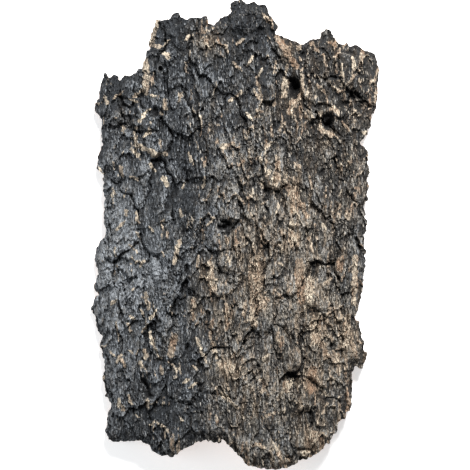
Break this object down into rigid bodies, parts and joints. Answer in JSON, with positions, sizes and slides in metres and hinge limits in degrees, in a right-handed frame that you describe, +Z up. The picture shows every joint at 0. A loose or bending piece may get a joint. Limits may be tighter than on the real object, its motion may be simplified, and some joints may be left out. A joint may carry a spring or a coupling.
{
  "type": "piece of cork bark",
  "caption": "Slab of virgin cork bark, gently arched, with a broken outline, fissured plates and pits on its rough face; lies flat as a backdrop, hide or mount for plants.",
  "frame": {"origin": "centre of the outline's box, on the surface that the slab lies on", "axes": "+Z up through the rough outer face, +Y along the grain towards the stepped upper end, +X across the bend"},
  "size_m": [0.288, 0.468, 0.051],
  "materials": {
    "bark": "rough, matt, charcoal to grey-brown outer bark with tan cork where flakes have broken off; inner face red-brown"
  },
  "bodies": {
    "root": {"cork_bark": "bark"}
  },
  "joints": []
}
